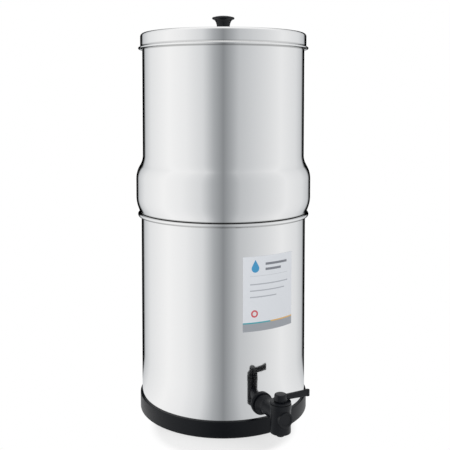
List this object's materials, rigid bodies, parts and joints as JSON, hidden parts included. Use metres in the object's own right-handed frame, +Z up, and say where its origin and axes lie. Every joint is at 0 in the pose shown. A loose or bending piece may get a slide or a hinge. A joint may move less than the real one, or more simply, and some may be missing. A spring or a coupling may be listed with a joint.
{
  "type": "gravity water filter",
  "caption": "Two-stage gravity drinking water filter: nested stainless vessels with filter candles, a knobbed lid, a rubber base ring and a quarter-turn tap.",
  "frame": {"origin": "on the common axis of the two vessels, in the plane that the base ring stands on", "axes": "+Z up along the vessels' axis; -Y is the front; the tap lies to the right of the front, 25.5 degrees round towards +X"},
  "size_m": [0.2292, 0.2696, 0.5163],
  "materials": {
    "steel": "satin polish with a fine turned grain",
    "rubber": "satin black",
    "black_plastic": "moulded, satin",
    "label": "printed film, semi-gloss",
    "ceramic": "unglazed, matt",
    "carbon": "pressed grain, matt",
    "white_plastic": "moulded, satin",
    "screw_steel": "bright"
  },
  "bodies": {
    "lower_unit": {"base_ring": "rubber", "lower_chamber": "steel", "front_label": "label", "tap_body": "black_plastic", "tap_outer_washer": "rubber", "tap_inner_washer": "rubber", "tap_back_nut": "black_plastic"},
    "tap_valve": {"tap_core": "black_plastic", "core_o_ring_upper": "rubber", "core_o_ring_lower": "rubber", "tap_lever": "black_plastic"},
    "upper_unit": {"upper_chamber": "steel", "ceramic_shell_1": "ceramic", "ceramic_shell_2": "ceramic", "ceramic_shell_3": "ceramic", "ceramic_shell_4": "ceramic", "carbon_core_1": "carbon", "carbon_core_2": "carbon", "carbon_core_3": "carbon", "carbon_core_4": "carbon", "candle_base_1": "white_plastic", "candle_base_2": "white_plastic", "candle_base_3": "white_plastic", "candle_base_4": "white_plastic", "candle_washer_1": "rubber", "candle_washer_2": "rubber", "candle_washer_3": "rubber", "candle_washer_4": "rubber", "wing_nut_1": "white_plastic", "wing_nut_2": "white_plastic", "wing_nut_3": "white_plastic", "wing_nut_4": "white_plastic"},
    "lid_unit": {"lid": "steel", "lid_knob": "black_plastic", "lid_screw": "screw_steel", "lid_washer": "rubber"}
  },
  "joints": [
    {"name": "upper_lift", "type": "slide", "parent": "lower_unit", "child": "upper_unit", "axis": [0, 0, 1], "range_m": [0, 0.12]},
    {"name": "lid_lift", "type": "slide", "parent": "upper_unit", "child": "lid_unit", "axis": [0, 0, 1], "range_m": [0, 0.08]},
    {"name": "tap_turn", "type": "hinge", "parent": "lower_unit", "child": "tap_valve", "pos_m": [0.0663, -0.139, 0.0386], "axis": [0, 0, -1], "range_deg": [0, 90]}
  ]
}
